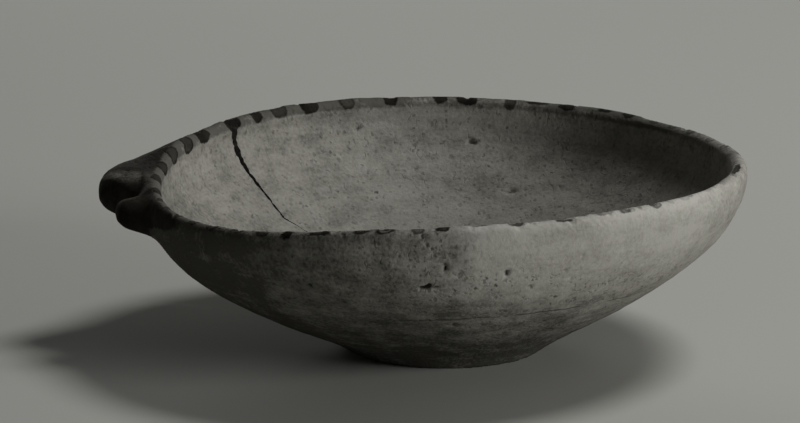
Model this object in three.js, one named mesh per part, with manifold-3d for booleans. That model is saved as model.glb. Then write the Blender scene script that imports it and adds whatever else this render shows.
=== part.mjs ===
// Hand-built painted bowl: a flat base pad, two wall courses, an incurved rim coil and a lug of two horns.
// Millimetres, +Z up. The origin is the middle of the flat face the bowl rests on; the lug points to -X.
import * as THREE from "three";
import { mergeVertices } from "three/addons/utils/BufferGeometryUtils.js";
import Module from "manifold-3d";

const wasm = await Module();
wasm.setup();

// Body
const MAX_RADIUS = 100; // widest circle, just under the lip
const BASE_RADIUS = 32; // flat resting face
const RIM_HEIGHT = 62; // mean height of the lip
const LIP_RISE = 4; // from the widest circle up to the lip
const LIP_INSET = 3; // from the widest circle in to the middle of the lip
const LIP_THICK = 6;
const WALL_THICK = 6; // at the widest circle
const FLOOR_THICK = 6; // in the middle
const FOOT_ANGLE = THREE.MathUtils.degToRad(40); // how steeply the wall leaves the base
const FOOT_REACH = 17; // pull of the wall curve along that angle
const SHOULDER_REACH = 29; // pull of the wall curve straight down from the widest circle

// Unevenness of the hand-built wall: rise of the rim, as cosine and sine of one to four waves a turn
const RIM_WAVES = [[3.2, 1.4], [-1.85, -2.35], [0.4, 0.8], [0, -0.4]];

// Seams between the pieces of the body
const LUTE = 0.3; // layer of slip in every joint
const SCARF = 6; // a seam's inside edge lies this far down the wall from its outside edge
const BASE_PAD_EDGE = 12; // the base pad turns up this far along the wall
const COURSE_SEAM_HEIGHT = 28.2; // level line round the outside
const RIM_COIL_WALL = 12; // the rim coil comes this far down the wall from the widest circle

// Lug: two horns side by side, the back one longer
const LUG_DROP = 7.6; // middle of the lug below the lip, where the rim crosses the X axis
const LUG_SLOPE = 0.11; // the lug follows the rim, which falls toward -Y
const HORN_ROOT_DEPTH = 10; // a horn starts this far inside the widest circle, then is fitted to the wall
const HORN_WAIST = 0.55; // share of its length over which a horn narrows
const HORN_FULLNESS = 1.2; // roundness of a horn's end
const HORN_END = 0.985; // a horn's last loop, just short of its point, along the curve of its side
const BACK_REACH = 15.7; // past the widest circle
const BACK_ROOT_Y = 17.5; // middle of the horn at its root
const BACK_TIP_Y = 15;
const BACK_ROOT_HALF_WIDTH = 29;
const BACK_HALF_WIDTH = 7.4;
const BACK_HALF_HEIGHT = 6.9;
const FRONT_REACH = 8.9;
const FRONT_ROOT_Y = -16;
const FRONT_TIP_Y = -11.5;
const FRONT_ROOT_HALF_WIDTH = 22;
const FRONT_HALF_WIDTH = 6.6;
const FRONT_HALF_HEIGHT = 5.7;

// Crack through the wall, from the lip down
const CRACK = [
  { degrees: 138.6, down: 0, width: 1.7 }, // down is along the wall from the widest circle
  { degrees: 139.4, down: 7, width: 1.55 },
  { degrees: 139.6, down: 13, width: 1.4 },
  { degrees: 138.6, down: 21, width: 1.1 },
  { degrees: 137.8, down: 31, width: 0.8 },
  { degrees: 137.5, down: 40.5, width: 0.55 },
  { degrees: 133.7, down: 49, width: 0.3 },
];
const CUT_MARGIN = 3; // cutting tools stand this far clear of what they cut

// Fineness
const ROUND = 96; // columns round the bowl
const PAD_STEPS = 3; // steps along each side of the base pad's turned-up edge
const COURSE_STEPS = 6; // steps along each side of a course
const COIL_STEPS = 4; // steps along each side of the rim coil, below the lip
const LIP_STEPS = 4; // steps in each quarter of the lip
const FACE_STEPS = 24; // steps along the whole wall, where the horns are fitted to it
const HORN_ROUND = 24;
const HORN_ALONG = 12;

const CLAY = 0xb7aa95;
const PAINT = 0x3b302a;

// The outer wall in section, measured in millimetres along it from the edge of the base
const WIDEST_HEIGHT = RIM_HEIGHT - LIP_RISE;
const LIP_RADIUS = MAX_RADIUS - LIP_INSET;
const foot = new THREE.Vector2(BASE_RADIUS, 0);
const widest = new THREE.Vector2(MAX_RADIUS, WIDEST_HEIGHT);
const wallCurve = new THREE.CubicBezierCurve(
  foot,
  foot.clone().add(new THREE.Vector2(FOOT_REACH * Math.cos(FOOT_ANGLE), FOOT_REACH * Math.sin(FOOT_ANGLE))),
  widest.clone().sub(new THREE.Vector2(0, SHOULDER_REACH)),
  widest,
);
const WALL_LENGTH = wallCurve.getLength();
const outer = (along) => wallCurve.getPointAt(along / WALL_LENGTH);

// A point square to the outer wall: positive depth goes into the clay, negative out of it
function beside(along, depth) {
  const tangent = wallCurve.getTangentAt(along / WALL_LENGTH);
  return outer(along).add(new THREE.Vector2(-tangent.y, tangent.x).multiplyScalar(depth));
}

// At the foot the wall is as thick as brings its inside level with the floor
const FOOT_THICK = FLOOR_THICK / Math.cos(FOOT_ANGLE);
const thickness = (along) => THREE.MathUtils.lerp(FOOT_THICK, WALL_THICK, along / WALL_LENGTH);
const inner = (along) => beside(along, thickness(along));

// The lip's outside quarter, swollen by a clearance, and its inside quarter
const quarter = (from, point) =>
  Array.from({ length: LIP_STEPS }, (_, i) => point(from + ((i + 1) / LIP_STEPS) * (Math.PI / 2)));
const lipOutside = (grow) => quarter(0, (a) => new THREE.Vector2(
  LIP_RADIUS + (LIP_INSET + grow) * Math.cos(a),
  WIDEST_HEIGHT + (LIP_RISE + grow) * Math.sin(a),
));
const lipInside = () => quarter(Math.PI / 2, (a) => new THREE.Vector2(
  LIP_RADIUS + (LIP_THICK / 2) * Math.cos(a),
  RIM_HEIGHT + (LIP_THICK / 2) * (Math.sin(a) - 1),
));

// Moves a true turned point to its place on the uneven bowl; the resting face stays flat
function uneven(point, angle) {
  const outward = THREE.MathUtils.clamp((point.x - BASE_RADIUS) / (MAX_RADIUS - BASE_RADIUS), 0, 1);
  const upward = Math.max(0, point.y / RIM_HEIGHT);
  const wave = (k) => RIM_WAVES[k - 1][0] * Math.cos(k * angle) + RIM_WAVES[k - 1][1] * Math.sin(k * angle);
  const overFloor = Math.min(1, point.x / BASE_RADIUS);
  const rise = outward * wave(1) + overFloor * upward * (wave(2) + wave(3) + upward * wave(4));
  return new THREE.Vector3(point.x * Math.cos(angle), point.x * Math.sin(angle), point.y + rise);
}

// How far along the wall its outside passes a level line, at one angle
function alongAtHeight(height, angle) {
  let low = 0;
  let high = WALL_LENGTH;
  while (high - low > 1e-6) {
    const middle = (low + high) / 2;
    if (uneven(outer(middle), angle).z < height) low = middle;
    else high = middle;
  }
  return low;
}

// A scarfed seam: the edges of the piece below (side -1) or above (side 1), half the slip layer away
function seam(along, side) {
  const slant = Math.hypot(SCARF, thickness(along)) / thickness(along);
  const shift = side * (LUTE / 2) * slant;
  return { outside: along + shift, inside: along - SCARF + shift };
}
const baseSeam = (side) => seam(BASE_PAD_EDGE, side);
const courseSeam = (side, angle) => seam(alongAtHeight(COURSE_SEAM_HEIGHT, angle), side);
const rimSeam = (side) => seam(WALL_LENGTH - RIM_COIL_WALL, side);

const run = (curve, from, to, steps) =>
  Array.from({ length: steps + 1 }, (_, i) => curve(THREE.MathUtils.lerp(from, to, i / steps)));

function solid(points, indices) {
  const geometry = new THREE.BufferGeometry().setFromPoints(points);
  geometry.setIndex(indices);
  return geometry;
}

// Carries a section round the bowl; a section from axis to axis is closed by a pole at each end
function turn(sectionAt) {
  const columns = Array.from({ length: ROUND }, (_, j) => {
    const angle = (j / ROUND) * Math.PI * 2;
    return sectionAt(angle).map((point) => uneven(point, angle));
  });
  const rows = columns[0].length;
  const toAxis = columns[0][0].x === 0;
  const indices = [];
  const at = (j, k) => (j % ROUND) * rows + (k % rows);
  for (let j = 0; j < ROUND; j++) {
    for (let k = 0; k < (toAxis ? rows - 1 : rows); k++) {
      const fromPole = toAxis && k === 0;
      const toPole = toAxis && k === rows - 2;
      if (!fromPole) indices.push(at(j, k), at(j + 1, k), at(j + 1, k + 1));
      if (!toPole) indices.push(at(j, k), at(j + 1, k + 1), at(j, k + 1));
    }
  }
  return mergeVertices(solid(columns.flat(), indices));
}

// Joins a row of equal loops into a closed body with flat ends
function loft(loops) {
  const n = loops[0].length;
  const last = (loops.length - 1) * n;
  const indices = [];
  for (let i = 0; i < last; i += n) {
    for (let k = 0; k < n; k++) {
      const a = i + k;
      const b = i + ((k + 1) % n);
      indices.push(a, b, b + n, a, b + n, a + n);
    }
  }
  for (let k = 1; k + 1 < n; k++) indices.push(0, k + 1, k, last, last + k, last + k + 1);
  return solid(loops.flat(), indices);
}

// Cuts one closed body with another
function cut(geometry, tool) {
  const [body, cutter] = [geometry, tool].map((part) => new wasm.Manifold(new wasm.Mesh({
    numProp: 3,
    vertProperties: new Float32Array(part.attributes.position.array),
    triVerts: new Uint32Array(part.index.array),
  })));
  const mesh = body.subtract(cutter).getMesh();
  const result = new THREE.BufferGeometry();
  result.setAttribute("position", new THREE.BufferAttribute(mesh.vertProperties, 3));
  result.setIndex(new THREE.BufferAttribute(mesh.triVerts, 1));
  return result;
}

// Base pad: a disc of clay with a turned-up edge that the first course laps over
function basePad() {
  return turn(() => {
    const edge = baseSeam(-1);
    return [
      new THREE.Vector2(0, 0),
      ...run(outer, 0, edge.outside, PAD_STEPS),
      ...run(inner, edge.inside, 0, PAD_STEPS),
      new THREE.Vector2(0, FLOOR_THICK),
    ];
  });
}

// Wall course: a band of clay pressed onto the scarfed edge of the piece below
function course(below, above) {
  return turn((angle) => {
    const low = below(1, angle);
    const high = above(-1, angle);
    return [
      ...run(outer, low.outside, high.outside, COURSE_STEPS),
      ...run(inner, high.inside, low.inside, COURSE_STEPS),
    ];
  });
}

// Rim coil: the last roll of clay, thinned and turned in at the lip
function rimCoil() {
  return turn(() => {
    const low = rimSeam(1);
    return [
      ...run(outer, low.outside, WALL_LENGTH, COIL_STEPS),
      ...lipOutside(0),
      ...lipInside(),
      ...run(inner, WALL_LENGTH, low.inside, COIL_STEPS),
    ];
  });
}

// Crack: a narrow wedge through the whole wall, open at the lip and closing below
function crack() {
  const loops = CRACK.map(({ degrees, down, width }) => {
    const angle = THREE.MathUtils.degToRad(degrees);
    const along = WALL_LENGTH - down;
    const inside = beside(along, thickness(along) + CUT_MARGIN);
    const outside = beside(along, -CUT_MARGIN);
    const corner = (point, side) => uneven(point, angle + (side * width) / 2 / point.x);
    return [corner(inside, -1), corner(inside, 1), corner(outside, 1), corner(outside, -1)];
  });
  const overLip = new THREE.Vector3(0, 0, LIP_RISE + CUT_MARGIN);
  return loft([loops[0].map((point) => point.clone().add(overLip)), ...loops]);
}

// The filled outside of the bowl, one layer of slip larger, that the horns are fitted against
function bowlFace() {
  const above = RIM_HEIGHT + WALL_LENGTH;
  return turn(() => [
    new THREE.Vector2(0, 0),
    ...run((along) => beside(along, -LUTE), 0, WALL_LENGTH, FACE_STEPS),
    ...lipOutside(LUTE),
    new THREE.Vector2(LIP_RADIUS, above),
    new THREE.Vector2(0, above),
  ]);
}

// Horn: wide where it is luted to the wall, narrowing to a rounded end
function horn({ reach, rootY, tipY, rootHalfWidth, halfWidth, halfHeight }) {
  const length = HORN_ROOT_DEPTH + reach;
  const taper = (root, waist) => new THREE.CubicBezierCurve(
    new THREE.Vector2(0, root),
    new THREE.Vector2(length * HORN_WAIST, waist),
    new THREE.Vector2(length, waist * HORN_FULLNESS),
    new THREE.Vector2(length, 0),
  );
  const widths = taper(rootHalfWidth, halfWidth);
  const heights = taper(halfHeight * HORN_FULLNESS, halfHeight);
  const loops = Array.from({ length: HORN_ALONG }, (_, i) => {
    const t = (HORN_END * i) / (HORN_ALONG - 1);
    const { x: out, y: wide } = widths.getPoint(t);
    const high = heights.getPoint(t).y;
    const middle = THREE.MathUtils.lerp(rootY, tipY, out / length);
    return Array.from({ length: HORN_ROUND }, (_, k) => {
      const a = (k / HORN_ROUND) * Math.PI * 2;
      const y = middle + wide * Math.cos(a);
      return new THREE.Vector3(HORN_ROOT_DEPTH - out, y, LUG_SLOPE * y - high * Math.sin(a));
    });
  });
  return loft(loops);
}

const bowl = new THREE.Group();
bowl.name = "painted_bowl";

function add(parent, name, geometry, color) {
  geometry.computeVertexNormals();
  const material = new THREE.MeshStandardMaterial({ color, roughness: 0.9, metalness: 0 });
  const mesh = new THREE.Mesh(geometry, material);
  mesh.name = name;
  parent.add(mesh);
}

const wedge = crack();
add(bowl, "base_pad", basePad(), CLAY);
add(bowl, "lower_course", cut(course(baseSeam, courseSeam), wedge), CLAY);
add(bowl, "upper_course", cut(course(courseSeam, rimSeam), wedge), CLAY);
add(bowl, "rim_coil", cut(rimCoil(), wedge), CLAY);

// The lug hangs on the widest circle, just below the lip
const lug = new THREE.Group();
const lipAtLug = uneven(new THREE.Vector2(LIP_RADIUS, RIM_HEIGHT), Math.PI).z;
lug.position.set(-MAX_RADIUS, 0, lipAtLug - LUG_DROP);
bowl.add(lug);
const face = bowlFace().translate(...lug.position.clone().negate().toArray());
const backHorn = horn({
  reach: BACK_REACH,
  rootY: BACK_ROOT_Y,
  tipY: BACK_TIP_Y,
  rootHalfWidth: BACK_ROOT_HALF_WIDTH,
  halfWidth: BACK_HALF_WIDTH,
  halfHeight: BACK_HALF_HEIGHT,
});
const frontHorn = horn({
  reach: FRONT_REACH,
  rootY: FRONT_ROOT_Y,
  tipY: FRONT_TIP_Y,
  rootHalfWidth: FRONT_ROOT_HALF_WIDTH,
  halfWidth: FRONT_HALF_WIDTH,
  halfHeight: FRONT_HALF_HEIGHT,
});
add(lug, "lug_horn_back", cut(backHorn, face), PAINT);
add(lug, "lug_horn_front", cut(frontHorn, face), PAINT);

export default bowl;
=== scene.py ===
# %% [markdown]
# A hand-built painted bowl
#
# The real bowl is low-fired clay: a base pad, two bands of clay and a rolled rim, smeared together, with a
# lug of two horns pressed onto the rim. A pale slip covers it, and dark dabs of paint run round the lip.
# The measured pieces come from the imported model. Blender's share is the continuous skin that the potter's
# hands left over those pieces, and its finish.

# %% Load the measured pieces
import math

import bmesh
import bpy
import numpy as np
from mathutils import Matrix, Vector


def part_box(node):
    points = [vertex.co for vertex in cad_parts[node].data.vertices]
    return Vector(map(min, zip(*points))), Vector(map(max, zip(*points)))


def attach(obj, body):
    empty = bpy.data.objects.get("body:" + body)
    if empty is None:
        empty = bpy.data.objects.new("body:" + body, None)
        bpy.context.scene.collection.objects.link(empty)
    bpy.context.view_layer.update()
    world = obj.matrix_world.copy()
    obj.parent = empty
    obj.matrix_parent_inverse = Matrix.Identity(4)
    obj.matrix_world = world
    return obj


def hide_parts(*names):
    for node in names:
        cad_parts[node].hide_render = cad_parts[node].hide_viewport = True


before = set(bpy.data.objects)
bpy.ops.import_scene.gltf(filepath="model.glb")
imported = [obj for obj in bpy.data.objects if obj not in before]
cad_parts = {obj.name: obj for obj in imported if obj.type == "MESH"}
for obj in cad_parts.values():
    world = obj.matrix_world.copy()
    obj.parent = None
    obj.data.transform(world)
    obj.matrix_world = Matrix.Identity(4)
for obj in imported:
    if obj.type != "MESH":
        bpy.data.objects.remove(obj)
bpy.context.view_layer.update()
MM = 0.001

# %% [markdown]
# The camera
#
# The picture was taken from a little above the rim with a long lens, so the circles of the bowl hardly change
# size from front to back. A long lens two metres away gives the same flat look.

# %% Camera
CAMERA_ELEVATION = math.radians(13)
CAMERA_DISTANCE = 2.0
CAMERA_TARGET = Vector((-15.04 * MM, 0, 45.55 * MM))
SENSOR_WIDTH = 36.0
PICTURE_WIDTH = 800
PIXELS_PER_METRE = 3020

bpy.ops.object.select_all(action="DESELECT")
view_line = Vector((0, -math.cos(CAMERA_ELEVATION), math.sin(CAMERA_ELEVATION)))
bpy.ops.object.camera_add(
    location=CAMERA_TARGET + CAMERA_DISTANCE * view_line,
    rotation=(math.pi / 2 - CAMERA_ELEVATION, 0, 0),
)
camera = bpy.context.object
camera.data.sensor_width = SENSOR_WIDTH
camera.data.lens = SENSOR_WIDTH * CAMERA_DISTANCE * PIXELS_PER_METRE / PICTURE_WIDTH
bpy.context.scene.camera = camera
print("lens, mm:", round(camera.data.lens, 1))

# %% [markdown]
# Colour
#
# Colours are written as the hex values that a painting program shows. Blender's shaders work in linear
# light, so one function turns the first into the second. Another adds a node with its settings and links, so
# that a material reads as a list of steps.


# %% Two small helpers for materials
def hex_color(code):
    """Linear RGBA of an sRGB hex colour such as #b0a898."""
    channels = [int(code[i:i + 2], 16) / 255 for i in (1, 3, 5)]
    linear = [c / 12.92 if c <= 0.04045 else ((c + 0.055) / 1.055) ** 2.4 for c in channels]
    return (*linear, 1.0)


def add_node(tree, kind, settings=None, inputs=None):
    """Adds a node, sets its properties, and fills its inputs with numbers or with other nodes' outputs."""
    node = tree.nodes.new(kind)
    for name, value in (settings or {}).items():
        setattr(node, name, value)
    for key, value in (inputs or {}).items():
        if isinstance(value, bpy.types.NodeSocket):
            tree.links.new(value, node.inputs[key])
        else:
            node.inputs[key].default_value = value
    return node


print("the grey #808080 in linear light:", round(hex_color("#808080")[0], 3))

# %% [markdown]
# The stage
#
# The bowl stands on a plain pale sheet of matt paper, so wide that no low view sees its edge. A backdrop that
# curves up would hide the bowl from behind, so there is none. Instead the far paper, which the lamps don't
# reach, shows the camera an even grey. Near the bowl it is plain paper that takes the shadow.

# %% Floor
STAGE_HALF = 40.0
STAGE_FADE_START = 0.6
STAGE_FADE_END = 1.7
PAPER_GREY = "#aeaea8"
PAPER_ROUGHNESS = 1.0
FAR_GREY = "#8c8c88"

bpy.ops.object.select_all(action="DESELECT")
bpy.ops.mesh.primitive_plane_add(size=2 * STAGE_HALF)
stage = bpy.context.object
stage.name = "stage"


def is_seen(tree):
    """1 for what the camera sees, straight or in a reflection, and 0 for light that falls on things."""
    path = add_node(tree, "ShaderNodeLightPath").outputs
    seen = path["Is Camera Ray"]
    for ray in ("Is Glossy Ray", "Is Transmission Ray"):
        seen = add_node(tree, "ShaderNodeMath", {"operation": "MAXIMUM"}, {0: seen, 1: path[ray]}).outputs[0]
    return seen


paper = bpy.data.materials.new("matt_backdrop_paper")
paper.use_nodes = True
tree = paper.node_tree
near_paper = tree.nodes["Principled BSDF"]
near_paper.inputs["Base Color"].default_value = hex_color(PAPER_GREY)
near_paper.inputs["Roughness"].default_value = PAPER_ROUGHNESS
far_paper = add_node(tree, "ShaderNodeEmission", None, {"Color": hex_color(FAR_GREY)})
place = add_node(tree, "ShaderNodeTexCoord").outputs["Object"]
distance = add_node(tree, "ShaderNodeVectorMath", {"operation": "LENGTH"}, {0: place}).outputs["Value"]
fade = add_node(
    tree, "ShaderNodeMapRange", None,
    {"Value": distance, "From Min": STAGE_FADE_START, "From Max": STAGE_FADE_END},
).outputs["Result"]
fade = add_node(tree, "ShaderNodeMath", {"operation": "MULTIPLY"}, {0: fade, 1: is_seen(tree)}).outputs[0]
faded = add_node(
    tree, "ShaderNodeMixShader", None,
    {0: fade, 1: near_paper.outputs["BSDF"], 2: far_paper.outputs["Emission"]},
).outputs["Shader"]
tree.links.new(faded, tree.nodes["Material Output"].inputs["Surface"])
stage.data.materials.append(paper)
print("stage width, m:", 2 * STAGE_HALF)

# %% [markdown]
# The light
#
# Two soft lamps stand on the right. A low one, a little in front, lights the right of the outside and the
# left of the inside, as a window would. A high one, a little behind, lights the floor and throws the rim's
# soft shadow into the bowl. A weak one behind keeps the far side readable, and the world adds a low, even
# fill. The lamps themselves are kept out of the picture, and above the paper's far edge the camera sees the
# same grey.

# %% Lamps and world
LAMP_DISTANCE = 1.5
LAMPS = [  # name, azimuth and elevation in degrees, size in metres, power in watts
    ("low_window", -30, 14, 0.6, 10.6),
    ("high_lamp", 25, 61, 0.5, 10.8),
    ("weak_back_lamp", 97, 13, 0.5, 3.0),
]
FILL_STRENGTH = 0.022

for name, azimuth, elevation, size, power in LAMPS:
    turn, up = math.radians(azimuth), math.radians(elevation)
    line = Vector((math.cos(turn) * math.cos(up), math.sin(turn) * math.cos(up), math.sin(up)))
    bpy.ops.object.select_all(action="DESELECT")
    bpy.ops.object.light_add(type="AREA", location=LAMP_DISTANCE * line)
    lamp = bpy.context.object
    lamp.name = name
    lamp.rotation_euler = (-line).to_track_quat("-Z", "Y").to_euler()
    lamp.data.shape = "DISK"
    lamp.data.size = size
    lamp.data.energy = power
    lamp.visible_camera = False

world = bpy.data.worlds.new("even_fill")
bpy.context.scene.world = world
world.use_nodes = True
tree = world.node_tree
fill = tree.nodes["Background"]
fill.inputs["Color"].default_value = hex_color("#ffffff")
fill.inputs["Strength"].default_value = FILL_STRENGTH
far_grey = add_node(tree, "ShaderNodeBackground", None, {"Color": hex_color(FAR_GREY)})
sky = add_node(
    tree, "ShaderNodeMixShader", None,
    {0: is_seen(tree), 1: fill.outputs["Background"], 2: far_grey.outputs["Background"]},
).outputs["Shader"]
tree.links.new(sky, tree.nodes["World Output"].inputs["Surface"])
bpy.context.scene.view_settings.view_transform = "Standard"

# %% [markdown]
# The section of the wall
#
# Cut a bowl in half and its wall is one curve outside, a rolled lip on top and the same curve inside, one
# wall's thickness away. The measured pieces were shaped on that curve, so it is worked out here from the same
# few sizes. Under the lip the potter's thumb left a shallow hollow on the inside, which the measured pieces
# leave out.

# %% Sizes of the section
MAX_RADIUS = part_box("rim_coil")[1].x
BASE_RADIUS = 32 * MM
RIM_HEIGHT = 62 * MM
LIP_RISE = 4 * MM
LIP_INSET = 3 * MM
LIP_THICK = 6.4 * MM
WALL_THICK = 6 * MM
FLOOR_THICK = 6 * MM
FOOT_ANGLE = math.radians(40)
FOOT_REACH = 17 * MM
SHOULDER_REACH = 29 * MM
THUMB_HOLLOW = 0.4 * MM
THUMB_HOLLOW_DOWN = 4 * MM
THUMB_HOLLOW_WIDTH = 4 * MM
FINE_POINTS = 400

WIDEST_HEIGHT = RIM_HEIGHT - LIP_RISE
LIP_RADIUS = MAX_RADIUS - LIP_INSET


def bezier(t, start, pull, push, end):
    """A smooth curve from a start to an end, drawn towards two places between them."""
    return (1 - t) ** 3 * start + 3 * (1 - t) ** 2 * t * pull + 3 * (1 - t) * t ** 2 * push + t ** 3 * end


def wall_curve(t):
    """Points (radius, height) of the outer wall, from the foot at 0 to the widest circle at 1."""
    t = np.asarray(t, float)[:, None]
    foot = np.array([BASE_RADIUS, 0])
    pulled = foot + FOOT_REACH * np.array([math.cos(FOOT_ANGLE), math.sin(FOOT_ANGLE)])
    widest = np.array([MAX_RADIUS, WIDEST_HEIGHT])
    shoulder = widest - np.array([0, SHOULDER_REACH])
    return bezier(t, foot, pulled, shoulder, widest)


fine_wall = wall_curve(np.linspace(0, 1, FINE_POINTS))
fine_along = np.concatenate([[0], np.cumsum(np.linalg.norm(np.diff(fine_wall, axis=0), axis=1))])
WALL_LENGTH = fine_along[-1]
fine_slope = np.gradient(fine_wall, fine_along, axis=0)


def beside(along, depth):
    """Points at a depth square to the outer wall, a length along it from the foot."""
    at = [np.interp(along, fine_along, fine_wall[:, i]) for i in (0, 1)]
    slope = [np.interp(along, fine_along, fine_slope[:, i]) for i in (0, 1)]
    return np.stack([at[0] - slope[1] * depth, at[1] + slope[0] * depth], axis=-1)


def thickness(along):
    """Thickness of the wall, with the hollow that the thumb left under the lip."""
    plain = np.interp(along, [0, WALL_LENGTH], [FLOOR_THICK / math.cos(FOOT_ANGLE), WALL_THICK])
    down = WALL_LENGTH - along
    return plain - THUMB_HOLLOW * np.exp(-(((down - THUMB_HOLLOW_DOWN) / THUMB_HOLLOW_WIDTH) ** 2))


print("wall length, mm:", round(WALL_LENGTH / MM, 2))

# %% [markdown]
# From section to bowl
#
# A single vertex is extruded along the section, from the middle of the base, up the outside, over the lip and
# down the inside to the middle of the floor. Spinning that line once round gives the turned bowl.
# A lathe modifier would do as well, but the line and the spin show each step.

# %% Draw the section and spin it
WALL_POINTS = 60
LIP_OUT_POINTS = 9
LIP_IN_POINTS = 13
LIP_ROLL_END = math.radians(200)
SPIN_STEPS = 192
MERGE_DISTANCE = 0.01 * MM


def section():
    """The whole section as (radius, height), from the middle of the base to the middle of the floor."""
    outside = beside(np.linspace(0, WALL_LENGTH, WALL_POINTS), 0)
    over = np.linspace(0, math.pi / 2, LIP_OUT_POINTS)[1:]
    lip_out = np.stack(
        [LIP_RADIUS + LIP_INSET * np.cos(over), WIDEST_HEIGHT + LIP_RISE * np.sin(over)], axis=-1,
    )
    under = np.linspace(math.pi / 2, LIP_ROLL_END, LIP_IN_POINTS)[1:]
    half = LIP_THICK / 2
    lip_in = np.stack([LIP_RADIUS + half * np.cos(under), RIM_HEIGHT + half * (np.sin(under) - 1)], axis=-1)
    down = np.linspace(WALL_LENGTH - THUMB_HOLLOW_DOWN, 0, WALL_POINTS)
    inside = beside(down, thickness(down))
    middle = np.array([[0, 0]])
    return np.concatenate([middle, outside, lip_out, lip_in, inside, [[0, inside[-1][1]]]])


def spin_section(name, points):
    """Draws a section from axis to axis, vertex by vertex, and spins it into a closed body."""
    bpy.ops.object.select_all(action="DESELECT")
    bpy.ops.mesh.primitive_plane_add(size=MM)
    body = bpy.context.object
    body.name = name
    bpy.ops.object.mode_set(mode="EDIT")
    bpy.ops.mesh.merge(type="CENTER")
    for here, there in zip(points, points[1:]):
        step = (there[0] - here[0], 0, there[1] - here[1])
        bpy.ops.mesh.extrude_region_move(TRANSFORM_OT_translate={"value": step})
    bpy.ops.mesh.select_all(action="SELECT")
    bpy.ops.mesh.spin(steps=SPIN_STEPS, angle=2 * math.pi, center=(0, 0, 0), axis=(0, 0, 1))
    bpy.ops.mesh.select_all(action="SELECT")
    bpy.ops.mesh.remove_doubles(threshold=MERGE_DISTANCE)
    bpy.ops.mesh.normals_make_consistent(inside=False)
    bpy.ops.object.mode_set(mode="OBJECT")
    print(name, "spun:", len(body.data.vertices), "vertices")
    return body


bowl = spin_section("bowl", section())

# %% [markdown]
# Made by hand, so not true
#
# The rim dips toward the lug and rises and falls as it goes round. Each point is lifted by a few slow waves
# round the bowl, the same waves that the measured pieces have. The face that the bowl stands on stays flat.

# %% Lift the wall unevenly
RIM_WAVES = [(3.2, 1.4), (-1.85, -2.35), (0.4, 0.8), (0, -0.4)]  # cosine and sine of 1 to 4 waves, in mm


def rise(radius, height, angle):
    """How far the uneven wall lies above the turned one."""
    waves = [MM * (c * np.cos(k * angle) + s * np.sin(k * angle)) for k, (c, s) in enumerate(RIM_WAVES, 1)]
    outward = np.clip((radius - BASE_RADIUS) / (MAX_RADIUS - BASE_RADIUS), 0, 1)
    upward = np.maximum(0, height / RIM_HEIGHT)
    over_floor = np.minimum(1, radius / BASE_RADIUS)
    return outward * waves[0] + over_floor * upward * (waves[1] + waves[2] + upward * waves[3])


def get_points(piece):
    """All vertices of a piece as an array."""
    points = np.empty(len(piece.data.vertices) * 3)
    piece.data.vertices.foreach_get("co", points)
    return points.reshape(-1, 3)


def set_points(piece, points):
    """Puts the vertices of a piece where an array says."""
    piece.data.vertices.foreach_set("co", points.ravel())
    piece.data.update()


def lift(points):
    """Turned points moved to their place on the uneven bowl."""
    lifted = points.copy()
    radius = np.hypot(points[:, 0], points[:, 1])
    lifted[:, 2] += rise(radius, points[:, 2], np.arctan2(points[:, 1], points[:, 0]))
    return lifted


set_points(bowl, lift(get_points(bowl)))
top = get_points(bowl)[:, 2].max()
print("rim, mm: mean", RIM_HEIGHT / MM, "highest", round(top / MM, 2))

# %% [markdown]
# The horns of the lug
#
# Each horn is a fat roll of clay, wide where it was smeared onto the wall and drawn out to a blunt end.
# Finger and thumb pinched the notch between the two, which left a crest along each edge of it, while the far
# sides stayed round. So a square gets one crisp corner and three rounder ones, and is then extruded outward
# ring by ring, each ring moved and resized. The straight horn is then wrapped round the bowl, so that its
# broad root hugs the wall, and tilted with the rim. The path of its crest is kept, because there the paint is
# rubbed thin and painted lighter, as the highlight that the crest catches.

# %% Rings of a horn
LUG_DROP = 7.6 * MM
LUG_SLOPE = 0.11
HORN_ROOT_DEPTH = 10 * MM
HORN_WAIST = 0.55
HORN_FULLNESS = 1.2
HORN_RINGS = 16
LAST_RING = 0.985

LUG_HEIGHT = RIM_HEIGHT + rise(LIP_RADIUS, RIM_HEIGHT, math.pi) - LUG_DROP


def taper(t, root, waist):
    """Half size of a horn along its length: its root, a waist, and a rounded end."""
    return bezier(t, root, waist, waist * HORN_FULLNESS, 0)


def horn_rings(reach, drop, root_y, tip_y, root_half_width, half_width, half_height):
    """Place, half width and half height of each ring of a straight horn, from inside the wall outward."""
    length = HORN_ROOT_DEPTH + reach
    rings = []
    for t in np.linspace(0, LAST_RING, HORN_RINGS):
        out = length * bezier(t, 0, HORN_WAIST, 1, 1)
        y = root_y + (tip_y - root_y) * out / length
        place = Vector((HORN_ROOT_DEPTH - MAX_RADIUS - out, y, LUG_HEIGHT - drop))
        wide = taper(t, root_half_width, half_width)
        high = taper(t, half_height * HORN_FULLNESS, half_height)
        rings.append((place, wide, high))
    return rings


def wrap(points):
    """Points of a straight horn, bent round the bowl and tilted with the rim."""
    turn = points[:, 1] / MAX_RADIUS
    out = -points[:, 0]
    height = points[:, 2] + LUG_SLOPE * points[:, 1]
    return np.stack([-out * np.cos(turn), out * np.sin(turn), height], axis=-1)


print("lug height, mm:", round(LUG_HEIGHT / MM, 1))

# %% Extrude the horns
CREST_ROUNDING = 0.3
LOW_NEAR_ROUNDING = 0.7
LOW_FAR_ROUNDING = 1.2
CORNER_SEGMENTS = 6
AT_CORNER = 0.999
CREST_SHARE = 0.65


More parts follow.
